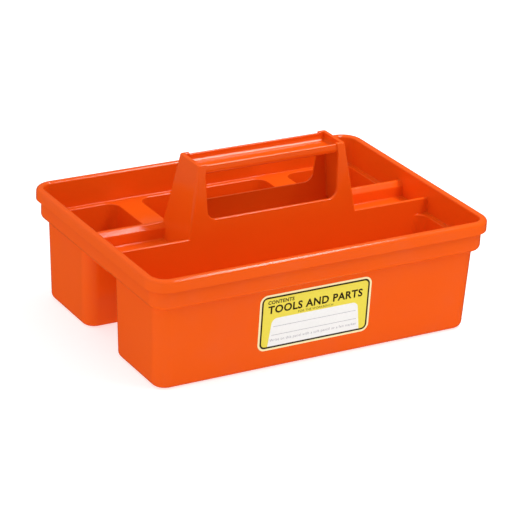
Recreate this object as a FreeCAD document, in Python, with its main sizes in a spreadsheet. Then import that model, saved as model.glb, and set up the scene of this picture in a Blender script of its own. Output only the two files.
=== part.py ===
import FreeCAD, Part
import math
import os
import re

import Sketcher
from FreeCAD import Placement, Rotation, Vector

# Tool storage caddy: one polypropylene moulding, described region by region, and its adhesive label.
# Frame: +X along the length, label side at -Y, +Z up, origin at the bottom centre. Millimetres.

DRIVING_SIZES = [
    ("rim_length", 380.0, "outer length of the rolled rim"),
    ("rim_width", 274.0, "outer width of the rolled rim"),
    ("rim_top", 119.5, "height of the rim's crown"),
    ("rim_corner", 21.5, "plan radius of the rim's corners"),
    ("lip_height", 12.3, "height of the outer lip"),
    ("skirt", 2.4, "thickness of the lip's hanging skirt"),
    ("crown_round", 3.6, "rounding of the crown, outside"),
    ("crown_inner_round", 2.3, "rounding of the crown, inside"),
    ("wall", 2.6, "nominal wall of the moulding"),
    ("rim_wall", 2.8, "wall of the band under the rim"),
    ("band_inset", 5.1, "inset of the band under the lip"),
    ("band_round", 5.8, "rounding where the band turns in to the bins"),
    ("deck_top", 88.9, "height of the ledge, the dividers and the channel floor"),
    ("foot_inset", 14.7, "inset of the outer bin walls at the foot"),
    ("draft", 0.0371, "slope of the bin walls"),
    ("bin_corner", 14.6, "plan radius of the bins' outer corners"),
    ("foot_round", 5.8, "rounding round the bins' feet"),
    ("tunnel_half", 28.9, "half width of the tunnel at the foot"),
    ("cup_split", 100.4, "foot position of the outer cups' inner walls"),
    ("middle_half", 72.6, "half length of the middle cup at the foot"),
    ("ridge_top", 105.0, "height of the channel's ridges"),
    ("ridge_width", 8.8, "width of a ridge at its foot"),
    ("ridge_round", 3.5, "rounding of a ridge's top"),
    ("ridge_lean", 0.6, "how far a ridge's channel side leans over its height"),
    ("knee", 104.5, "height where the handle's long faces start to lean in"),
    ("handle_top", 177.5, "top of the handle's end plates"),
    ("handle_half_length", 83.0, "half length of the handle at its top"),
    ("handle_half_width", 19.5, "half width of the handle at its top"),
    ("plate_lean", 0.171, "slope of the handle's end plates"),
    ("handle_round", 2.5, "rounding of the handle's upright edges"),
    ("grip_top", 176.2, "top of the grip's side walls"),
    ("grip_floor", 168.6, "floor of the grip's trough"),
    ("grip_wall", 2.8, "thickness of the grip's side walls"),
    ("grip_round", 5.0, "rounding along the trough's floor"),
    ("sill", 121.5, "height of the hand opening's sill"),
    ("opening_half_sill", 73.0, "half length of the hand opening at its sill"),
    ("opening_half_top", 75.3, "half length of the hand opening at its top"),
    ("opening_corner", 9.0, "radius of the hand opening's lower corners"),
    ("label_length", 125.0, "length of the label"),
    ("label_height", 59.5, "height of the label"),
    ("label_corner", 8.0, "corner radius of the label"),
    ("label_thickness", 0.3, "thickness of the label"),
    ("label_centre", -6.5, "label centre along the length"),
    ("label_mid", 50.3, "label centre above the base"),
]

# Lines worked out from the driving sizes, written as formulas of them.
RIM_X = "rim_length / 2"
RIM_Y = "rim_width / 2"
RIM_INNER = "(band_inset + rim_wall)"
DECK_UNDER = "(deck_top - wall)"
TUNNEL_SIDE = "(tunnel_half - draft * deck_top)"
BIN_SIDE = f"({TUNNEL_SIDE} + wall)"
KNEE_SIDE = f"({BIN_SIDE} - draft * (knee - deck_top))"
FACE_LEAN = f"(({KNEE_SIDE} - handle_half_width) / (handle_top - knee))"
FLOOR_HALF = f"({BIN_SIDE} - ridge_width + wall)"
GRIP_UNDER = "(grip_floor - wall)"
CLEAR = 10.0        # how far a cutting solid runs past what it cuts
SAME = 1e-3         # two heights closer than this are one height

document = FreeCAD.newDocument("ToolStorageCaddy")
sheet = document.addObject("Spreadsheet::Sheet", "Sizes")
for row, (alias, value, meaning) in enumerate(DRIVING_SIZES, start=1):
    sheet.set(f"A{row}", meaning)
    sheet.set(f"B{row}", str(value))
    sheet.setAlias(f"B{row}", alias)
document.recompute()
SIZE_NAMES = {alias for alias, _, _ in DRIVING_SIZES}
nodes = {}


def size(alias):
    """A driving size as a number, read from the sheet."""
    return float(sheet.get(alias))


def cell_of(word):
    """The sheet's cell for a word that is a size name; any other word stays as it is."""
    return f"Sizes.{word[0]}" if word[0] in SIZE_NAMES else word[0]


def bind(thing, formulas):
    """Tie properties to formulas of size names, such as {"Length": "rim_length - 2 * wall"}."""
    for name, formula in formulas.items():
        thing.setExpression(name, re.sub(r"[a-z_]+", cell_of, formula))


def box(name, sides, base, top):
    """An upright box; sides are formulas for x_min, x_max, y_min, y_max."""
    x_min, x_max, y_min, y_max = sides
    solid = document.addObject("Part::Box", name)
    bind(solid, {
        "Length": f"({x_max}) - ({x_min})",
        "Width": f"({y_max}) - ({y_min})",
        "Height": f"({top}) - ({base})",
        "Placement.Base.x": x_min, "Placement.Base.y": y_min, "Placement.Base.z": base,
    })
    return solid


def tapered_block(name, low, high, base, top):
    """A block whose four sides move evenly from their places at the base to those at the top."""
    block = document.addObject("Part::Wedge", name)
    # a wedge tapers along its own Y; stood upright, its own Z points to -Y
    block.Placement = Placement(Vector(0, 0, 0), Rotation(Vector(1, 0, 0), 90))
    bind(block, {
        "Ymin": base, "Xmin": low[0], "Xmax": low[1], "Zmin": f"-({low[3]})", "Zmax": f"-({low[2]})",
        "Ymax": top, "X2min": high[0], "X2max": high[1], "Z2min": f"-({high[3]})", "Z2max": f"-({high[2]})",
    })
    return block


def centred(half_length, half_width):
    return (f"-({half_length})", half_length, f"-({half_width})", half_width)


def drafted(foot, inset, height):
    """Bin sides given at the foot, moved in by an inset and out by the draft up to a height."""
    shift = f"(draft * ({height}) - ({inset}))"
    x_min, x_max, y_min, y_max = foot
    return (f"{x_min} - {shift}", f"{x_max} + {shift}", f"{y_min} - {shift}", f"{y_max} + {shift}")


def upright(edge):
    bounds = edge.BoundBox
    return bounds.ZLength > max(bounds.XLength, bounds.YLength)


def at_height(height):
    return lambda edge: max(abs(edge.BoundBox.ZMin - height), abs(edge.BoundBox.ZMax - height)) < SAME


def rounded(name, base, *rounds):
    """Round the edges of a solid; each round is (which edges, radius)."""
    document.recompute()
    edges = []
    for number, edge in enumerate(base.Shape.Edges, start=1):
        radius = next((radius for chosen, radius in rounds if chosen(edge)), None)
        if radius:
            edges.append((number, radius, radius))
    fillet = document.addObject("Part::Fillet", name)
    fillet.Base = base
    fillet.Edges = edges
    return fillet


def fuse(name, *solids):
    joined = document.addObject("Part::MultiFuse", name)
    joined.Shapes = list(solids)
    return joined


def cut(name, base, *tools):
    """Take one or more solids away from a solid."""
    result = document.addObject("Part::Cut", name)
    result.Base = base
    result.Tool = tools[0] if len(tools) == 1 else fuse(f"{name}_tools", *tools)
    return result


def part_of(name, solid, region):
    common = document.addObject("Part::Common", name)
    common.Base = solid
    common.Tool = region
    return common


def node(name, thing):
    """Enter a finished sub-part under the name that its file takes."""
    thing.Label = name
    nodes[name] = thing
    return thing


def body_plane(body, role):
    return next(plane for plane in body.Origin.OriginFeatures if plane.Role == role)


def outline(body, name, plane, corners):
    """A closed sketch of straight sides; a corner is two formulas, with "0" for a place on an axis."""
    sketch = body.newObject("Sketcher::SketchObject", name)
    sketch.AttachmentSupport = (body_plane(body, plane), [""])
    sketch.MapMode = "FlatFace"
    spread = [Vector(math.cos(2 * math.pi * i / len(corners)), math.sin(2 * math.pi * i / len(corners)), 0)
              for i in range(len(corners))]
    for i, start in enumerate(spread):
        sketch.addGeometry(Part.LineSegment(start, spread[(i + 1) % len(spread)]))
    for i in range(len(corners)):
        sketch.addConstraint(Sketcher.Constraint("Coincident", i, 2, (i + 1) % len(corners), 1))
    for i, corner in enumerate(corners):
        for kind, axis, formula in zip(("DistanceX", "DistanceY"), (-2, -1), corner):
            if formula == "0":
                sketch.addConstraint(Sketcher.Constraint("PointOnObject", i, 1, axis))
            else:
                number = sketch.addConstraint(Sketcher.Constraint(kind, -1, 1, i, 1, 1.0))
                bind(sketch, {f"Constraints[{number}]": formula})
    return sketch


def pad(body, sketch, length):
    feature = body.newObject("PartDesign::Pad", "Pad")
    feature.Profile = sketch
    bind(feature, {"Length": length})
    return feature


def body_fillet(body, feature, chosen, radius):
    """Round the chosen edges of a body's last feature."""
    document.recompute()
    names = [f"Edge{number}" for number, edge in enumerate(feature.Shape.Edges, start=1) if chosen(edge)]
    fillet = body.newObject("PartDesign::Fillet", "Rounding")
    fillet.Base = (feature, names)
    bind(fillet, {"Radius": radius})
    return fillet


# ---- bins: four deep pockets hanging from the deck, with the tunnel between front and rear ----

def make_bin(name, foot):
    """A drafted, round-cornered cup, and its solid outer form for the deck to fit round."""
    corner, foot_round, wall = size("bin_corner"), size("foot_round"), size("wall")
    foot_sides, top_sides = drafted(foot, "0", "0"), drafted(foot, "0", "deck_top")
    outer = tapered_block(f"{name}_outer", foot_sides, top_sides, "0", "deck_top")
    outer = rounded(f"{name}_form", outer, (upright, corner), (at_height(0), foot_round))
    above = f"deck_top + {CLEAR}"
    floor_sides, mouth_sides = drafted(foot, "wall", "wall"), drafted(foot, "wall", above)
    hollow = tapered_block(f"{name}_hollow", floor_sides, mouth_sides, "wall", above)
    hollow = rounded(f"{name}_pocket", hollow, (upright, corner - wall), (at_height(wall), foot_round - wall))
    return cut(name, outer, hollow), outer


END, FRONT, REAR = f"({RIM_X} - foot_inset)", f"-({RIM_Y} - foot_inset)", f"({RIM_Y} - foot_inset)"
BIN_FEET = {
    "front_bin": (f"-{END}", END, FRONT, "-tunnel_half"),
    "rear_left_bin": (f"-{END}", "-cup_split", "tunnel_half", REAR),
    "rear_middle_bin": ("-middle_half", "middle_half", "tunnel_half", REAR),
    "rear_right_bin": ("cup_split", END, "tunnel_half", REAR),
}
bins = {name: make_bin(name, foot) for name, foot in BIN_FEET.items()}
bin_forms = [form for _, form in bins.values()]
for name in ("rear_left_bin", "rear_middle_bin", "rear_right_bin"):
    node(name, bins[name][0])

# the front bin runs the whole length, so it is told apart into its two ends and its straight middle
FRONT_STRETCHES = {
    "left_end": (f"-{RIM_X}", "-cup_split"),
    "middle": ("-cup_split", "cup_split"),
    "right_end": ("cup_split", RIM_X),
}
for name, (x_min, x_max) in FRONT_STRETCHES.items():
    stretch = box(f"{name}_stretch", (x_min, x_max, f"-{RIM_Y}", "0"), f"-{CLEAR}", "rim_top")
    node(f"front_bin_{name}", part_of(f"front_bin_{name}", bins["front_bin"][0], stretch))


# ---- rim: the rolled lip, the band below it and the ledge at the band's foot ----

def rim_block(name, inset, base, top, *rounds):
    """A round-cornered block that follows the rim's outline at an inset."""
    block = box(f"{name}_square", centred(f"{RIM_X} - ({inset})", f"{RIM_Y} - ({inset})"), base, top)
    return rounded(name, block, *rounds)


inner_inset = size("band_inset") + size("rim_wall")
inner_corner = size("rim_corner") - inner_inset
lip_under = "rim_top - lip_height"
lip_block = rim_block("lip_block", "0", lip_under, "rim_top",
                      (upright, size("rim_corner")), (at_height(size("rim_top")), size("crown_round")))
lip_opening = rim_block("lip_opening", RIM_INNER, f"{lip_under} - {CLEAR}", f"rim_top + {CLEAR}",
                        (upright, inner_corner))
skirt_outside = rim_block("skirt_outside", "skirt", f"{lip_under} - {CLEAR}", "rim_top - wall",
                          (upright, size("rim_corner") - size("skirt")))
skirt_inside = rim_block("skirt_inside", "band_inset", f"{lip_under} - {CLEAR}", f"rim_top + {CLEAR}",
                         (upright, size("rim_corner") - size("band_inset")))
skirt_gap = cut("skirt_gap", skirt_outside, skirt_inside)
lip = cut("lip_sharp", lip_block, lip_opening, skirt_gap)


def crown_inner_edge(edge):
    bounds = edge.BoundBox
    inside = max(abs(bounds.XMin), abs(bounds.XMax)) < size("rim_length") / 2 - inner_inset + SAME
    return at_height(size("rim_top"))(edge) and inside


node("rim_lip", rounded("rim_lip", lip, (crown_inner_edge, size("crown_inner_round"))))

band_block = rim_block("band_block", "band_inset", DECK_UNDER, lip_under,
                       (upright, size("rim_corner") - size("band_inset")),
                       (at_height(size("deck_top") - size("wall")), size("band_round")))
band_cavity = rim_block("band_cavity", RIM_INNER, "deck_top", f"rim_top + {CLEAR}",
                        (upright, inner_corner),
                        (at_height(size("deck_top")), size("band_round") - size("wall")))

CORNER_END = f"({END} - bin_corner)"
BACK_WALL = f"({REAR} + draft * {DECK_UNDER})"
below, above = f"{DECK_UNDER} - {CLEAR}", "deck_top + wall"
centre_gap = box("centre_gap", centred(CORNER_END, f"{TUNNEL_SIDE} + wall"), below, above)
channel_gap = box("channel_gap", centred(f"{RIM_X} - {RIM_INNER}", FLOOR_HALF), below, above)
DIVIDER_SIDES = ("(middle_half - bin_corner)", "(cup_split + bin_corner)", TUNNEL_SIDE, BACK_WALL)
MIRRORED_SIDES = ("-(cup_split + bin_corner)", "-(middle_half - bin_corner)", TUNNEL_SIDE, BACK_WALL)
divider_gaps = [box("right_divider_gap", DIVIDER_SIDES, below, above),
                box("left_divider_gap", MIRRORED_SIDES, below, above)]
node("rim_band", cut("rim_band", band_block, band_cavity, *bin_forms, centre_gap, channel_gap, *divider_gaps))


# ---- deck: the dividers between the rear bins and the floors of the centre channel ----

def make_divider(name, sides):
    plate = box(f"{name}_plate", sides, DECK_UNDER, "deck_top")
    node(name, cut(name, plate, *bin_forms[1:]))


make_divider("right_divider", DIVIDER_SIDES)
make_divider("left_divider", MIRRORED_SIDES)

PLATE_FOOT = "(handle_half_length + plate_lean * (handle_top - deck_top))"
CHANNEL_END = f"({RIM_X} - {RIM_INNER})"
node("left_channel_floor", box("left_channel_floor", (
    f"-{CHANNEL_END}", f"-({PLATE_FOOT} - wall)", f"-{FLOOR_HALF}", FLOOR_HALF), DECK_UNDER, "deck_top"))
node("right_channel_floor", box("right_channel_floor", (
    f"{PLATE_FOOT} - wall", CHANNEL_END, f"-{FLOOR_HALF}", FLOOR_HALF), DECK_UNDER, "deck_top"))


# ---- handle: a hollow tower with a hand opening through it and a trough-shaped grip ----

def tower_sides(height, long_side, inset="0"):
    """Sides of the tower at a height; long_side is the half width there."""
    half_length = f"(handle_half_length + plate_lean * (handle_top - ({height})) - ({inset}))"
    return centred(half_length, f"({long_side} - ({inset}))")


def face_at(height):
    return f"(handle_half_width + {FACE_LEAN} * (handle_top - ({height})))"


tower_foot = tapered_block("tower_foot", tower_sides("deck_top", BIN_SIDE), tower_sides("knee", KNEE_SIDE),
                           "deck_top", "knee")
tower_upper = tapered_block("tower_upper", tower_sides("knee", KNEE_SIDE),
                            tower_sides("handle_top", "handle_half_width"), "knee", "handle_top")
tower_upper = rounded("tower_rounded", tower_upper, (upright, size("handle_round")))
tower = fuse("tower", tower_foot, tower_upper)
hollow_foot = tapered_block("hollow_foot", tower_sides("deck_top", BIN_SIDE, "wall"),
                            tower_sides("knee", KNEE_SIDE, "wall"), "deck_top", "knee")
hollow_upper = tapered_block("hollow_upper", tower_sides("knee", KNEE_SIDE, "wall"),
                             tower_sides(GRIP_UNDER, face_at(GRIP_UNDER), "wall"), "knee", GRIP_UNDER)

trough_floor = tower_sides("grip_floor", face_at("grip_floor"), "grip_wall")
trough_mouth = tower_sides("handle_top", "handle_half_width", "grip_wall")
trough = tapered_block("trough_square", trough_floor, trough_mouth, "grip_floor", "handle_top")
trough = rounded("trough", trough, (at_height(size("grip_floor")), size("grip_round")))

# the side walls stop just below the end plates' tops
wall_step = box("wall_step", centred("handle_half_length - grip_wall", "handle_half_width + wall"),
                "grip_top", f"handle_top + {CLEAR}")
THROUGH = f"(tunnel_half + {CLEAR})"
opening = tapered_block("opening_square", centred("opening_half_sill", THROUGH),
                        centred("opening_half_top", THROUGH), "sill", GRIP_UNDER)


def opening_corner(edge):
    bounds = edge.BoundBox
    return at_height(size("sill"))(edge) and bounds.YLength > bounds.XLength


opening = rounded("hand_opening", opening, (opening_corner, size("opening_corner")))
handle = cut("handle", tower, hollow_foot, hollow_upper, trough, wall_step, opening)

# the handle is divided at the opening's jambs, along its length, and halfway up the opening
BEYOND = f"({RIM_X})"
JAMB = "opening_half_sill"
MIDDLE = "(sill + grip_floor) / 2"
regions = {
    "left_upright": box("left_region", (f"-{BEYOND}", f"-{JAMB}", f"-{BEYOND}", BEYOND), "0", "rim_length"),
    "right_upright": box("right_region", (JAMB, BEYOND, f"-{BEYOND}", BEYOND), "0", "rim_length"),
    "front_panel": box("front_region", (f"-{JAMB}", JAMB, f"-{BEYOND}", "0"), "0", MIDDLE),
    "rear_panel": box("rear_region", (f"-{JAMB}", JAMB, "0", BEYOND), "0", MIDDLE),
    "grip": box("grip_region", (f"-{JAMB}", JAMB, f"-{BEYOND}", BEYOND), MIDDLE, "rim_length"),
}
for name, region in regions.items():
    node(f"handle_{name}", part_of(f"handle_{name}", handle, region))


# ---- ridges: hollow kerbs along both sides of the channel, from the band to the handle ----

def ridge_top_edge(edge):
    """A long edge of a ridge's top, in its body's own frame."""
    bounds = edge.BoundBox
    top = size("ridge_top") - size("deck_top")
    return bounds.XLength > size("ridge_width") * 2 and bounds.ZMin > top - SAME


def make_ridge(name, side, start):
    """side is -1 at the front, 1 at the rear; start is the formula for the end that the pad grows from."""
    height = "(ridge_top - deck_top)"
    body = document.addObject("PartDesign::Body", f"{name}_body")
    sketch = outline(body, "Section", "YZ_Plane", [
        ("0", "0"),
        (f"draft * {height}", height),
        ("ridge_width - ridge_lean", height),
        ("ridge_width", "0"),
        ("ridge_width - wall", "0"),
        ("ridge_width - wall - ridge_lean", f"{height} - wall"),
        (f"draft * {height} + wall", f"{height} - wall"),
        ("wall", "0"),
    ])
    feature = pad(body, sketch, f"{CHANNEL_END} - {PLATE_FOOT} + {CLEAR}")
    body_fillet(body, feature, ridge_top_edge, "ridge_round")
    turn = 180 if side > 0 else 0
    body.Placement = Placement(Vector(0, 0, 0), Rotation(Vector(0, 0, 1), turn))
    bind(body, {"Placement.Base.x": start, "Placement.Base.y": f"{side} * {BIN_SIDE}",
                "Placement.Base.z": "deck_top"})
    node(name, cut(name, body, tower, nodes["rim_band"]))


NEAR_HANDLE = f"({PLATE_FOOT} - {CLEAR})"
make_ridge("front_left_ridge", -1, f"-{CHANNEL_END}")
make_ridge("front_right_ridge", -1, NEAR_HANDLE)
make_ridge("rear_right_ridge", 1, CHANNEL_END)
make_ridge("rear_left_ridge", 1, f"-{NEAR_HANDLE}")


# ---- label: an adhesive panel lying on the front bin's drafted front wall ----

def upright_in_body(edge):
    bounds = edge.BoundBox
    return max(bounds.XLength, bounds.YLength) < SAME


def make_label():
    body = document.addObject("PartDesign::Body", "label_body")
    half_length, half_height = "label_length / 2", "label_height / 2"
    sketch = outline(body, "Outline", "XY_Plane", [
        (f"-{half_length}", f"-{half_height}"), (half_length, f"-{half_height}"),
        (half_length, half_height), (f"-{half_length}", half_height),
    ])
    body_fillet(body, pad(body, sketch, "label_thickness"), upright_in_body, "label_corner")
    tilt = 90 + math.degrees(math.atan(size("draft")))
    body.Placement = Placement(Vector(0, 0, 0), Rotation(Vector(1, 0, 0), tilt))
    bind(body, {"Placement.Base.x": "label_centre", "Placement.Base.z": "label_mid",
                "Placement.Base.y": f"{FRONT} - draft * label_mid"})
    node("label", body)


make_label()


# ---- check everything, then write one file for each node ----

document.recompute()
failed = [thing.Name for thing in document.Objects if {"Invalid", "Error"} & set(thing.State)]
if failed:
    raise SystemExit(f"not recomputed: {failed}")
os.makedirs("parts", exist_ok=True)
for name, thing in nodes.items():
    shape = thing.Shape
    if shape.isNull() or not shape.isValid() or not shape.Solids:
        raise SystemExit(f"{name} has no valid solid")
    shape.exportStep(f"parts/{name}.step")
    print(f"{name}: {len(shape.Solids)} solid, {shape.Volume / 1000:.1f} cm3, "
          f"z {shape.BoundBox.ZMin:.1f} to {shape.BoundBox.ZMax:.1f}")
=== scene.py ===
import math

import bmesh
import bpy
from mathutils import Matrix, Vector


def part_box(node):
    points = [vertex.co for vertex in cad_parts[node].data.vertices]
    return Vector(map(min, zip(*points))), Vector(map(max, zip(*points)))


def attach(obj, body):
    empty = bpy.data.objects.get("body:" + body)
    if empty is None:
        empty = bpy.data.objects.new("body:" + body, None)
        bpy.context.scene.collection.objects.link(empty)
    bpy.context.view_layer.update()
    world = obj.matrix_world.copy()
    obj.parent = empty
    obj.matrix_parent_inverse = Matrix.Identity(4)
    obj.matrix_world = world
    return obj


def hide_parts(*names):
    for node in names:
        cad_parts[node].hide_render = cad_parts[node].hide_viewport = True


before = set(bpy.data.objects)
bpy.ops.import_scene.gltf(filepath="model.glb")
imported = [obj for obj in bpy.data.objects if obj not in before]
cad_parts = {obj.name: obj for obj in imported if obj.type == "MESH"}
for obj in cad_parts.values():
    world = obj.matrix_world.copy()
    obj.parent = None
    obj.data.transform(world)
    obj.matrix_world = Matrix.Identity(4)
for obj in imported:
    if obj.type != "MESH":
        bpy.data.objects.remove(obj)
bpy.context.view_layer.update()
mm = 0.001
same = 0.01        # two measures in millimetres that differ by less than this are the same
print("frame loaded")


# small tools
def makeObject(bm, name):
    mesh = bpy.data.meshes.new(name)
    bm.to_mesh(mesh)
    bm.free()
    thing = bpy.data.objects.new(name, mesh)
    bpy.context.scene.collection.objects.link(thing)
    return thing


def nodeBox(*names):
    corners = [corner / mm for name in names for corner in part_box(name)]
    low = Vector([min(corner[axis] for corner in corners) for axis in range(3)])
    high = Vector([max(corner[axis] for corner in corners) for axis in range(3)])
    return low, high


def blockMesh(xMin, xMax, yMin, yMax, zMin, zMax):
    bm = bmesh.new()
    bmesh.ops.create_cube(bm, size=1)
    bmesh.ops.scale(bm, vec=(xMax - xMin, yMax - yMin, zMax - zMin), verts=bm.verts)
    bmesh.ops.translate(bm, vec=((xMin + xMax) / 2, (yMin + yMax) / 2, (zMin + zMax) / 2), verts=bm.verts)
    return bm


def roundEdges(bm, chosen, radius, segments):
    edges = [edge for edge in bm.edges if chosen(edge)]
    bmesh.ops.bevel(bm, geom=edges, offset=radius, offset_type="OFFSET", affect="EDGES",
                    segments=segments, profile=0.5, material=-1, clamp_overlap=False)


# which edges to round: each of these says yes or no to an edge
def upright(edge):
    a, b = (vert.co for vert in edge.verts)
    return abs(a.z - b.z) > 1 and (a.xy - b.xy).length < same


def alongX(edge):
    a, b = (vert.co for vert in edge.verts)
    return abs(a.x - b.x) > 30 and abs(a.y - b.y) < same


def level(height):
    return lambda edge: all(abs(vert.co.z - height) < same for vert in edge.verts)


def sharp(edge):
    return len(edge.link_faces) == 2 and edge.calc_face_angle() > math.radians(50)


def roundedBlock(name, sides, corner=0.0, foot=0.0, top=0.0, cornerSegments=10):
    bm = blockMesh(*sides)
    if corner:
        roundEdges(bm, upright, corner, cornerSegments)
    if foot:
        roundEdges(bm, level(sides[4]), foot, max(3, round(foot * 1.1)))
    if top:
        roundEdges(bm, level(sides[5]), top, max(3, round(top * 1.4)))
    return makeObject(bm, name)


# joins or cuts with exact booleans, and clears the tools away
def combine(base, operation, *tools):
    for tool in tools:
        modifier = base.modifiers.new(operation, "BOOLEAN")
        modifier.operation = operation
        modifier.solver = "EXACT"
        modifier.object = tool
    bpy.context.view_layer.update()
    graph = bpy.context.evaluated_depsgraph_get()
    base.data = bpy.data.meshes.new_from_object(base.evaluated_get(graph))
    base.modifiers.clear()
    for tool in tools:
        bpy.data.objects.remove(tool)
    return base


def reshape(thing, change):
    bm = bmesh.new()
    bm.from_mesh(thing.data)
    change(bm)
    bm.to_mesh(thing.data)
    bm.free()


# a boolean leaves doubles and needless edges that would spoil the rounding
def tidyFaces(bm):
    bmesh.ops.remove_doubles(bm, verts=bm.verts, dist=0.002)
    bmesh.ops.dissolve_degenerate(bm, dist=0.001, edges=bm.edges)
    bmesh.ops.dissolve_limit(bm, angle_limit=math.radians(0.3), verts=bm.verts, edges=bm.edges, delimit=set())


# moulding: all measures in millimetres until the last step
moulding = {
    "wall": 2.6,
    "draft": 0.0371,        # how far a bin's side leans in for each millimetre down
    "rimCorner": 21.5,
    "lipUnderRound": 0.7,
    "crownRound": 3.6,
    "crownInnerRound": 2.3,
    "skirt": 2.4,
    "bandRound": 5.8,
    "binCorner": 14.6,
    "footRound": 5.8,
    "pocketLip": 1.0,
    "deckFillet": 0.6,
    "ridgeSlope": 4.8,        # the slope that faces the channel
    "ridgeEdge": 1.1,
    "ridgeFoot": 1.6,
    "ridgeLean": 0.6,
    "slotEnd": 163.0,
    "handleTopX": 83.0,
    "handleTopY": 19.5,
    "handleReach": 6.0,        # what is less than this past the handle's plates leans in with them
    "uprightRound": 2.5,
    "hollowCorner": 1.0,
    "hollowTop": 0.8,
    "sill": 121.5,
    "openingSill": 73.0,
    "openingTop": 75.3,
    "openingCorner": 9.0,
    "gripWall": 2.8,
    "capWall": 4.2,
    "gutterInset": 1.4,
    "gutterRound": 6.0,
    "gripFloor": 168.6,
    "gripEdge": 1.0,
    "troughRound": 5.0,
}
bite = {        # how deep a shape is sunk in the one that it joins
    "band": 4.0,
    "form": 0.5,
    "ridgeEnd": 1.2,
    "ridgeFoot": 1.4,
    "tower": 1.0,
    "gutter": 1.5,
}
past = {        # how far a cutter runs past the face that it cuts
    "skirt": 5.0,
    "slot": 6.0,
    "pocket": 10.0,
    "opening": 10.0,
    "open": 30.0,
    "through": 60.0,
}
rimSegments, binSegments = 14, 10


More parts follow.
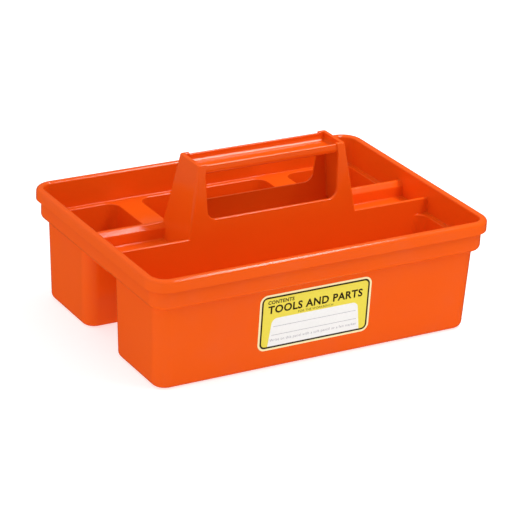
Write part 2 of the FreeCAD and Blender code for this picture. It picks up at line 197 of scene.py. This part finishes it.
def makeMoulding():
    m = moulding
    wall = m["wall"]
    rimLow, rimHigh = nodeBox("rim_lip")
    bandHigh = nodeBox("rim_band")[1]
    floorLow, floorHigh = nodeBox("right_channel_floor")
    ridgeLow, ridgeHigh = nodeBox("rear_right_ridge")
    plateHigh = nodeBox("handle_right_upright")[1]
    gripLow, gripHigh = nodeBox("handle_grip")
    rimX, rimY, rimTop = rimHigh
    bandX, bandY = bandHigh.x, bandHigh.y
    deckTop, deckUnder = floorHigh.z, floorLow.z
    lipUnder = rimLow.z
    innerX = ridgeHigh.x
    innerY = innerX - rimX + rimY
    bandInset, innerInset = rimX - bandX, rimX - innerX
    sideY, channelY, ridgeTop = ridgeHigh.y, ridgeLow.y, ridgeHigh.z
    handleX, handleTop = plateHigh.x, plateHigh.z
    gripTop, gripUnder = gripHigh.z, gripLow.z

    def centred(x, y, low, high):
        return (-x, x, -y, y, low, high)

    # rim, band and the four bins, as solid blocks
    tub = roundedBlock("tub", centred(rimX, rimY, lipUnder, rimTop), m["rimCorner"], m["lipUnderRound"],
                       m["crownRound"], rimSegments)
    band = roundedBlock("band", centred(bandX, bandY, deckUnder, rimTop - bite["band"]),
                        m["rimCorner"] - bandInset, m["bandRound"], 0, rimSegments)
    bins = []
    frontBin = ("front_bin_left_end", "front_bin_middle", "front_bin_right_end")
    for names in (frontBin, ("rear_left_bin",), ("rear_middle_bin",), ("rear_right_bin",)):
        low, high = nodeBox(*names)
        bins.append((low.x, high.x, low.y, high.y))
    forms = [roundedBlock("form", sides + (0.0, deckTop - bite["form"]), m["binCorner"], m["footRound"], 0,
                          binSegments) for sides in bins]
    combine(tub, "UNION", band, *forms)
    print("blocks joined")

    # open space inside: above the deck, and down into each bin
    cavity = roundedBlock("cavity", centred(innerX, innerY, deckTop, rimTop + past["open"]),
                          m["rimCorner"] - innerInset, m["deckFillet"], 0, rimSegments)
    pockets = []
    for x0, x1, y0, y1 in bins:
        sides = (x0 + wall, x1 - wall, y0 + wall, y1 - wall, wall, deckTop + past["pocket"])
        pockets.append(roundedBlock("pocket", sides, m["binCorner"] - wall, m["footRound"] - wall, 0,
                                    binSegments))
    skirtX, skirtY, under = rimX - m["skirt"], rimY - m["skirt"], lipUnder - past["open"]
    skirtOuter = roundedBlock("skirtOuter", centred(skirtX, skirtY, lipUnder - past["skirt"], rimTop - wall),
                              m["rimCorner"] - m["skirt"], 0, 0, rimSegments)
    skirtInner = roundedBlock("skirtInner", centred(bandX, bandY, under, rimTop + past["open"]),
                              m["rimCorner"] - bandInset, 0, 0, rimSegments)
    combine(skirtOuter, "DIFFERENCE", skirtInner)
    combine(tub, "DIFFERENCE", cavity, *pockets, skirtOuter)

    def roundRims(bm):
        tidyFaces(bm)
        roundEdges(bm, lambda edge: sharp(edge) and level(deckTop)(edge), m["pocketLip"], 4)
        roundEdges(bm, lambda edge: sharp(edge) and level(rimTop)(edge), m["crownInnerRound"], 4)

    reshape(tub, roundRims)
    print("pockets cut")

    # ridges on both sides of the centre channel, as one long trough that runs into the end walls
    ridges = roundedBlock("ridges", centred(innerX + bite["ridgeEnd"], sideY, deckTop - bite["ridgeFoot"],
                                            ridgeTop))
    channel = roundedBlock("channel", centred(innerX + past["open"], channelY, deckTop,
                                              ridgeTop + past["open"]))
    combine(ridges, "DIFFERENCE", channel)

    def roundRidges(bm):
        def innerTop(edge):
            return alongX(edge) and level(ridgeTop)(edge) and abs(edge.verts[0].co.y) < channelY + same

        def slopeEdge(edge):
            return alongX(edge) and (level(ridgeTop)(edge) or level(ridgeTop - m["ridgeSlope"])(edge))

        roundEdges(bm, innerTop, m["ridgeSlope"], 1)
        roundEdges(bm, slopeEdge, m["ridgeEdge"], 3)
        roundEdges(bm, lambda edge: alongX(edge) and level(deckTop)(edge), m["ridgeFoot"], 3)

    reshape(ridges, roundRidges)

    # handle: a hollow tower with an opening for the hand and a trough on top
    tower = roundedBlock("tower", centred(handleX, sideY, deckTop - bite["tower"], handleTop),
                         m["uprightRound"], 0, 0, 5)
    combine(tub, "UNION", ridges, tower)
    under = deckUnder - past["open"]
    hollow = roundedBlock("hollow", centred(handleX - wall, sideY - wall, under, gripUnder),
                          m["hollowCorner"], 0, m["hollowTop"], 3)
    slots = []
    for side in (-1, 1):
        near, away = sorted((side * (channelY + wall), side * (sideY - wall)))
        sides = (-m["slotEnd"], m["slotEnd"], near, away, deckUnder - past["slot"], ridgeTop - wall)
        slots.append(roundedBlock("slot", sides))
    lean = (handleX - m["handleTopX"]) / (handleTop - deckTop)
    jambX = m["openingTop"] + lean * (gripUnder - deckTop)
    gutterY = sideY - m["gutterInset"]
    troughX, troughY = handleX - m["capWall"], gutterY - m["gripWall"]
    openings = []
    for side in (-1, 1):
        near, away = sorted((side * past["opening"], side * past["through"]))
        opening = blockMesh(-1, 1, near, away, m["sill"], gripUnder)
        for vert in opening.verts:
            reach = m["openingSill"] if vert.co.z < m["sill"] + 1 else m["openingTop"]
            vert.co.x *= reach + lean * (vert.co.z - deckTop)
        roundEdges(opening, lambda edge: level(m["sill"])(edge) and not alongX(edge), m["openingCorner"], 8)
        openings.append(makeObject(opening, "opening"))
    gap = roundedBlock("gap", centred(jambX, past["through"], gripUnder, handleTop + past["open"]))
    combine(tub, "DIFFERENCE", hollow, gap, *openings, *slots)

    # the grip is a gutter hung between the two uprights
    gutter = roundedBlock("gutter", centred(jambX + bite["gutter"], gutterY, gripUnder, gripTop))

    def roundGutter(bm):
        roundEdges(bm, lambda edge: alongX(edge) and level(gripUnder)(edge), m["gutterRound"], 8)
        roundEdges(bm, lambda edge: alongX(edge) and level(gripTop)(edge), m["gripEdge"], 4)

    reshape(gutter, roundGutter)
    combine(tub, "UNION", gutter)
    trough = roundedBlock("trough", centred(troughX, troughY, m["gripFloor"], handleTop + past["open"]),
                          0, m["troughRound"])
    combine(tub, "DIFFERENCE", trough)
    print("handle cut")

    def finishMoulding(bm):
        tidyFaces(bm)

        def handleEdge(edge):
            ends = [vert.co for vert in edge.verts]
            onFace = all(abs(abs(p.y) - sideY) < same and p.z > m["sill"] - 1 for p in ends)
            onStep = all(abs(abs(p.x) - jambX) < same and abs(abs(p.y) - troughY) < same
                         and p.z > gripTop - same for p in ends)
            inTrough = level(gripTop)(edge) and alongX(edge) and abs(ends[0].y) < troughY + same
            return sharp(edge) and (onFace or onStep or inTrough or level(handleTop)(edge))

        roundEdges(bm, handleEdge, m["gripEdge"], 4)
        bmesh.ops.bisect_plane(bm, geom=bm.verts[:] + bm.edges[:] + bm.faces[:], plane_co=(0, 0, ridgeTop),
                               plane_no=(0, 0, 1), dist=same)
        taper(bm)
        bmesh.ops.scale(bm, vec=(mm, mm, mm), verts=bm.verts)

    # draft: the bins narrow to their feet, and the ridges and the handle lean in to their tops
    def taper(bm):
        middle, half = (sideY + channelY) / 2, (sideY - channelY) / 2
        faceLean = (sideY - m["ridgeLean"] - m["handleTopY"]) / (handleTop - ridgeTop)
        for vert in bm.verts:
            x, y, z = vert.co
            onHandle = abs(x) < handleX + m["handleReach"]
            if z < deckTop - same:
                draw = m["draft"] * (deckTop - z)
                for x0, x1, y0, y1 in bins:
                    if x0 - same < x < x1 + same and y0 - same < y < y1 + same:
                        xMid, yMid = (x0 + x1) / 2, (y0 + y1) / 2
                        vert.co.x = xMid + (x - xMid) * (1 - draw / (x1 - xMid))
                        vert.co.y = yMid + (y - yMid) * (1 - draw / (y1 - yMid))
            elif z > deckTop + same and abs(y) < sideY + same:
                if onHandle:
                    vert.co.x = x - math.copysign(lean * (z - deckTop), x)
                if z < ridgeTop + same:
                    give = m["ridgeLean"] * (z - deckTop) / (ridgeTop - deckTop)
                    vert.co.y = math.copysign(middle + (abs(y) - middle) * (1 - give / half), y)
                elif onHandle:
                    vert.co.y = y - math.copysign(m["ridgeLean"] + faceLean * (z - ridgeTop), y)

    reshape(tub, finishMoulding)
    tub.name = "caddyMoulding"
    return tub


mouldingPiece = makeMoulding()
mouldingPiece.data.shade_smooth()
mouldingPiece.data.set_sharp_from_angle(angle=math.radians(34))
weighted = mouldingPiece.modifiers.new("weighted", "WEIGHTED_NORMAL")
weighted.keep_sharp = True
weighted.weight = 100
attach(mouldingPiece, "root")
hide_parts(*[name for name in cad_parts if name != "label"])
print("moulding done", len(mouldingPiece.data.polygons))


# label: a die-cut film with its print laid on it as thin layers of ink
label = {
    "filmThickness": 0.16,
    "inkThickness": 0.02,
    "cadThickness": 0.3,
    "corner": 8.0,
    "margin": 2.1,
    "keyline": 1.8,
    "panelTopInset": 14.6,
    "panelFootInset": 10.9,
    "panelDrop": 25.8,
    "panelCorner": 5.5,
    "rules": (24.5, 15.4),
    "ruleWidth": 0.45,
    "ruleInset": 2.5,
    "letterSize": 10,        # words are drawn at this size, then scaled to the width that each is given
    "letterSpacing": 1.08,
}
inks = ("vinylFilm", "brownInk", "yellowInk", "whiteInk", "greyInk")
prints = [        # words, width, middle, baseline, extra weight, ink
    ("TOOLS AND PARTS", 106.0, 62.3, 39.4, 0.3, "brownInk"),
    ("CONTENTS", 29.0, 23.3, 49.4, 0.32, "brownInk"),
    ("FOR THE WORKBENCH", 39.0, 62.7, 35.0, 0.0, "brownInk"),
    ("Write on this panel with a soft pencil or a felt marker", 98.0, 62.0, 8.9, 0.0, "greyInk"),
]


def flatShape(corners, radii, segments=8):
    bm = bmesh.new()
    verts = [bm.verts.new((x, y, 0)) for x, y in corners]
    bm.faces.new(verts)
    for vert, radius in zip(verts, radii):
        if radius:
            bmesh.ops.bevel(bm, geom=[vert], offset=radius, offset_type="OFFSET", affect="VERTICES",
                            segments=segments, profile=0.5, material=-1)
    return bm


# a flat shape becomes a closed sheet that starts at the base height; with no ink given its faces keep theirs
def raiseSheet(bm, base, thickness, ink=None):
    if ink:
        for face in bm.faces:
            face.material_index = inks.index(ink)
    bmesh.ops.translate(bm, vec=(0, 0, base), verts=bm.verts)
    outline = bmesh.ops.extrude_face_region(bm, geom=bm.faces[:], use_keep_orig=True)
    lifted = [item for item in outline["geom"] if isinstance(item, bmesh.types.BMVert)]
    bmesh.ops.translate(bm, vec=(0, 0, thickness), verts=lifted)
    bmesh.ops.recalc_face_normals(bm, faces=bm.faces)
    return bm


def textSheet(words, width, middle, baseline, weight, base, ink):
    curve = bpy.data.curves.new("words", "FONT")
    curve.body = words
    curve.size = label["letterSize"]
    curve.offset = weight
    curve.resolution_u = 3
    curve.space_character = label["letterSpacing"]
    curve.align_x = "CENTER"
    lettering = bpy.data.objects.new("words", curve)
    bpy.context.scene.collection.objects.link(lettering)
    bpy.context.view_layer.update()
    graph = bpy.context.evaluated_depsgraph_get()
    mesh = bpy.data.meshes.new_from_object(lettering.evaluated_get(graph))
    bpy.data.objects.remove(lettering)
    bm = bmesh.new()
    bm.from_mesh(mesh)
    bmesh.ops.remove_doubles(bm, verts=bm.verts, dist=0.0001)
    xs = [vert.co.x for vert in bm.verts]
    scale = width / (max(xs) - min(xs))
    bmesh.ops.scale(bm, vec=(scale, scale, 1), verts=bm.verts)
    bmesh.ops.translate(bm, vec=(middle - scale * (max(xs) + min(xs)) / 2, baseline, 0), verts=bm.verts)
    return raiseSheet(bm, base, label["inkThickness"], ink)


def makeLabel():
    low, high = nodeBox("label")
    tilt = math.atan(moulding["draft"])
    length, height = high.x - low.x, (high.z - low.z) * math.cos(tilt)
    film, ink = label["filmThickness"], label["inkThickness"]

    # film with its keyline and field, each inset from the last
    square = [(0, 0), (length, 0), (length, height), (0, height)]
    bm = flatShape(square, [label["corner"]] * 4, 10)
    for slot, width in enumerate((label["margin"], label["keyline"])):
        inner = max(bm.faces, key=lambda face: face.calc_area())
        rim = bmesh.ops.inset_region(bm, faces=[inner], thickness=width, use_boundary=True,
                                     use_even_offset=True)
        for face in rim["faces"]:
            face.material_index = slot
        inner.material_index = slot + 1
    sheets = [raiseSheet(bm, 0, film)]

    # white panel with two rules to write on
    foot = label["margin"] + label["keyline"]
    top, reach, spread = height - label["panelDrop"], label["panelTopInset"], label["panelFootInset"]
    panel = [(spread, foot), (length - spread, foot), (length - reach, top), (reach, top)]
    radius = label["panelCorner"]
    sheets.append(raiseSheet(flatShape(panel, [0, 0, radius, radius]), film, ink, "whiteInk"))
    for rule in label["rules"]:
        share = (rule - foot) / (top - foot)
        inset, over = spread + (reach - spread) * share + label["ruleInset"], rule + label["ruleWidth"]
        strip = [(inset, rule), (length - inset, rule), (length - inset, over), (inset, over)]
        sheets.append(raiseSheet(flatShape(strip, [0] * 4), film + ink, ink, "greyInk"))
    for words, width, middle, baseline, weight, colour in prints:
        base = film + ink if colour == "greyInk" else film
        sheets.append(textSheet(words, width, middle, baseline, weight, base, colour))

    # all sheets become one mesh, stood up against the leaning wall
    whole = bmesh.new()
    for sheet in sheets:
        mesh = bpy.data.meshes.new("sheet")
        sheet.to_mesh(mesh)
        sheet.free()
        whole.from_mesh(mesh)
        bpy.data.meshes.remove(mesh)
    wallY = (low.y + high.y) / 2 + label["cadThickness"] / 2
    place = (Matrix.Translation(((low.x + high.x) / 2, wallY, (low.z + high.z) / 2))
             @ Matrix.Rotation(math.pi / 2 + tilt, 4, "X")
             @ Matrix.Translation((-length / 2, -height / 2, 0)))
    bmesh.ops.transform(whole, matrix=Matrix.Scale(mm, 4) @ place, verts=whole.verts)
    piece = makeObject(whole, "printedLabel")
    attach(piece, "root")
    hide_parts("label")
    return piece


labelPiece = makeLabel()
print("label done", len(labelPiece.data.polygons))


# materials
def linear(hexColour):
    channels = [int(hexColour[i:i + 2], 16) / 255 for i in (1, 3, 5)]
    return [c / 12.92 if c <= 0.04045 else ((c + 0.055) / 1.055) ** 2.4 for c in channels] + [1.0]


def addNode(tree, kind, settings=(), links=()):
    node = tree.nodes.new(kind)
    for name, value in dict(settings).items():
        if hasattr(node, name):
            setattr(node, name, value)
        else:
            node.inputs[name].default_value = value
    for name, source in dict(links).items():
        tree.links.new(source, node.inputs[name])
    return node


def newMaterial(name):
    material = bpy.data.materials.new(name)
    material.use_nodes = True
    material.node_tree.nodes.clear()
    return material


def perMetre(millimetres):
    return 1000 / millimetres


# polypropylene: injection moulded in a polished tool, so the faces are glossy and slightly wavy, with
# faint flow shading in the colour and hairline scuffs from use
plastic = {
    "colour": "#F45F12",
    "flowColour": "#F1580E",
    "flowSize": 70,
    "gloss": 0.12,
    "scuffGloss": 0.22,
    "scuffSize": 1.5,        # coarser than real hairlines, so that they show
    "scuffStretch": 0.12,
    "scuffTurn": (0.0, 0.12, 0.2),
    "scuffRange": (0.22, 0.42),
    "waveSize": 34,
    "waveDepth": 0.18,
    "skinSize": 1.6,
    "skinDepth": 0.006,
}


def makePolypropylene():
    p = plastic
    material = newMaterial("polypropylene")
    tree = material.node_tree
    place = addNode(tree, "ShaderNodeTexCoord").outputs["Object"]

    flow = addNode(tree, "ShaderNodeTexNoise", {"Scale": perMetre(p["flowSize"]), "Detail": 2.0},
                   {"Vector": place})
    colour = addNode(tree, "ShaderNodeMix", {"data_type": "RGBA"}, {"Factor": flow.outputs["Fac"]})
    colour.inputs[6].default_value = linear(p["colour"])
    colour.inputs[7].default_value = linear(p["flowColour"])

    # scuffs run mostly along the length, so the pattern is drawn out that way, and they come in patches
    along = addNode(tree, "ShaderNodeMapping", {
        "Scale": (p["scuffStretch"], 1.0, 1.0), "Rotation": p["scuffTurn"]}, {"Vector": place})
    scuffs = addNode(tree, "ShaderNodeTexNoise", {
        "Scale": perMetre(p["scuffSize"]), "Detail": 5.0, "Roughness": 0.7}, {"Vector": along.outputs[0]})
    patches = addNode(tree, "ShaderNodeTexNoise", {"Scale": perMetre(p["waveSize"])}, {"Vector": place})
    worn = addNode(tree, "ShaderNodeMath", {"operation": "MULTIPLY"})
    tree.links.new(scuffs.outputs["Fac"], worn.inputs[0])
    tree.links.new(patches.outputs["Fac"], worn.inputs[1])
    gloss = addNode(tree, "ShaderNodeMapRange", {
        "From Min": p["scuffRange"][0], "From Max": p["scuffRange"][1],
        "To Min": p["gloss"], "To Max": p["scuffGloss"]}, {"Value": worn.outputs[0]})

    # broad sink waves from cooling, under the fine skin that the polished steel leaves
    waves = addNode(tree, "ShaderNodeTexNoise", {"Scale": perMetre(p["waveSize"]), "Detail": 1.0},
                    {"Vector": place})
    skin = addNode(tree, "ShaderNodeTexNoise", {"Scale": perMetre(p["skinSize"]), "Detail": 2.0},
                   {"Vector": place})
    wavy = addNode(tree, "ShaderNodeBump", {"Strength": 1.0, "Distance": p["waveDepth"] * mm},
                   {"Height": waves.outputs["Fac"]})
    surface = addNode(tree, "ShaderNodeBump", {"Strength": 1.0, "Distance": p["skinDepth"] * mm},
                      {"Height": skin.outputs["Fac"], "Normal": wavy.outputs["Normal"]})

    shader = addNode(tree, "ShaderNodeBsdfPrincipled", {"IOR": 1.49}, {
        "Base Color": colour.outputs[2], "Roughness": gloss.outputs["Result"],
        "Normal": surface.outputs["Normal"]})
    addNode(tree, "ShaderNodeOutputMaterial", links={"Surface": shader.outputs[0]})
    return material


# vinyl film and screen inks: satin, and ink lies a little uneven, so colour and gloss are faintly mottled
printing = {
    "vinylFilm": ("#FBEDB4", 0.34),        # colour and roughness
    "brownInk": ("#2C1D04", 0.4),
    "yellowInk": ("#EFDD47", 0.38),
    "whiteInk": ("#F2F2F0", 0.5),
    "greyInk": ("#A8A4AC", 0.5),
    "mottleSize": 2.5,
    "mottleShade": (0.95, 1.04),
    "mottleGloss": (-0.05, 0.08),
    "grainSize": 0.8,
    "grainDepth": 0.008,
}


def makeInk(name):
    p = printing
    hexColour, gloss = p[name]
    material = newMaterial(name)
    tree = material.node_tree
    place = addNode(tree, "ShaderNodeTexCoord").outputs["Object"]
    mottle = addNode(tree, "ShaderNodeTexNoise", {"Scale": perMetre(p["mottleSize"]), "Detail": 3.0},
                     {"Vector": place}).outputs["Fac"]
    shade = addNode(tree, "ShaderNodeMapRange", {
        "To Min": p["mottleShade"][0], "To Max": p["mottleShade"][1]}, {"Value": mottle})
    colour = addNode(tree, "ShaderNodeHueSaturation", {"Color": linear(hexColour)},
                     {"Value": shade.outputs["Result"]})
    polish = addNode(tree, "ShaderNodeMapRange", {
        "To Min": gloss + p["mottleGloss"][0], "To Max": gloss + p["mottleGloss"][1]}, {"Value": mottle})
    grain = addNode(tree, "ShaderNodeTexNoise", {"Scale": perMetre(p["grainSize"]), "Detail": 2.0},
                    {"Vector": place})
    bump = addNode(tree, "ShaderNodeBump", {"Strength": 1.0, "Distance": p["grainDepth"] * mm},
                   {"Height": grain.outputs["Fac"]})
    shader = addNode(tree, "ShaderNodeBsdfPrincipled", {"IOR": 1.5, "Specular IOR Level": 0.4}, {
        "Base Color": colour.outputs[0], "Roughness": polish.outputs["Result"],
        "Normal": bump.outputs["Normal"]})
    addNode(tree, "ShaderNodeOutputMaterial", links={"Surface": shader.outputs[0]})
    return material


mouldingPiece.data.materials.append(makePolypropylene())
for name in inks:
    labelPiece.data.materials.append(makeInk(name))
print("materials done")


# floor, sky and one strip light; sizes and places in metres
studio = {
    "paperColour": "#CECECE",
    "paperGlow": 0.6,
    "floorSize": 12,
    "floorDrop": 0.0003,        # just clear of the feet
    "sky": ((0.4, 0.2), (0.5, 0.4), (1.0, 1.12)),        # height on the ramp, 0.5 is level, and brightness
    "skyLean": 30.0,        # the sky is brighter on the left
    "skyGloss": 0.22,        # how much of it the gloss sees, as most of it is flagged off
    "stripSize": (0.26, 1.3),
    "stripPlace": (0.53, -0.35, 1.15),
    "stripPower": 10.5,
}
bpy.context.scene.view_settings.view_transform = "Standard"


def addFloor():
    bpy.ops.mesh.primitive_plane_add(size=studio["floorSize"], location=(0, 0, -studio["floorDrop"]))
    floor = bpy.context.object
    floor.name = "floor"
    paper = newMaterial("paper")
    shader = addNode(paper.node_tree, "ShaderNodeBsdfPrincipled", {
        "Base Color": linear(studio["paperColour"]), "Roughness": 0.9,
        "Emission Color": linear("#FFFFFF"), "Emission Strength": studio["paperGlow"]})
    addNode(paper.node_tree, "ShaderNodeOutputMaterial", links={"Surface": shader.outputs[0]})
    floor.data.materials.append(paper)
    floor.visible_glossy = False


def addSky():
    world = bpy.data.worlds.new("studio")
    bpy.context.scene.world = world
    world.use_nodes = True
    tree = world.node_tree
    tree.nodes.clear()
    heading = addNode(tree, "ShaderNodeTexCoord").outputs["Generated"]
    lean = addNode(tree, "ShaderNodeMapping", {"Rotation": (0, math.radians(studio["skyLean"]), 0)},
                   {"Vector": heading})
    parts = addNode(tree, "ShaderNodeSeparateXYZ", links={"Vector": lean.outputs[0]})
    climb = addNode(tree, "ShaderNodeMapRange", {"From Min": -1.0, "From Max": 1.0},
                    {"Value": parts.outputs["Z"]})
    ramp = addNode(tree, "ShaderNodeValToRGB", links={"Fac": climb.outputs["Result"]})
    stops = ramp.color_ramp.elements
    stops.new(0.5)
    for stop, (place, brightness) in zip(stops, studio["sky"]):
        stop.position = place
        stop.color = (brightness, brightness, brightness, 1)
    glossy = addNode(tree, "ShaderNodeLightPath").outputs["Is Glossy Ray"]
    strength = addNode(tree, "ShaderNodeMapRange", {"To Min": 1.0, "To Max": studio["skyGloss"]},
                       {"Value": glossy})
    sky = addNode(tree, "ShaderNodeBackground", links={
        "Color": ramp.outputs["Color"], "Strength": strength.outputs["Result"]})
    addNode(tree, "ShaderNodeOutputWorld", links={"Surface": sky.outputs[0]})


def addStrip():
    data = bpy.data.lights.new("strip", "AREA")
    data.shape = "RECTANGLE"
    data.size, data.size_y = studio["stripSize"]
    data.energy = studio["stripPower"]
    light = bpy.data.objects.new("strip", data)        # hangs overhead and faces straight down
    bpy.context.scene.collection.objects.link(light)
    light.location = studio["stripPlace"]


addFloor()
addSky()
addStrip()
print("studio done")

# camera: from the front left and a little above, rolled by a few degrees
view = {
    "azimuth": -30.68,
    "elevation": 23.42,
    "roll": 2.74,
    "distance": 2475.24 * mm,
    "lookAt": (2.01 * mm, -0.83 * mm, 56.28 * mm),
    "lens": 170.18,
    "sensor": 36.0,
}


def addCamera():
    data = bpy.data.cameras.new("camera")
    data.lens = view["lens"]
    data.sensor_width = view["sensor"]
    data.clip_end = 20
    camera = bpy.data.objects.new("camera", data)
    bpy.context.scene.collection.objects.link(camera)
    turn = (Matrix.Rotation(math.radians(view["azimuth"]), 4, "Z")
            @ Matrix.Rotation(math.radians(90 - view["elevation"]), 4, "X")
            @ Matrix.Rotation(math.radians(view["roll"]), 4, "Z"))
    back = turn.to_3x3() @ Vector((0, 0, 1))
    camera.matrix_world = Matrix.Translation(Vector(view["lookAt"]) + back * view["distance"]) @ turn
    bpy.context.scene.camera = camera


addCamera()
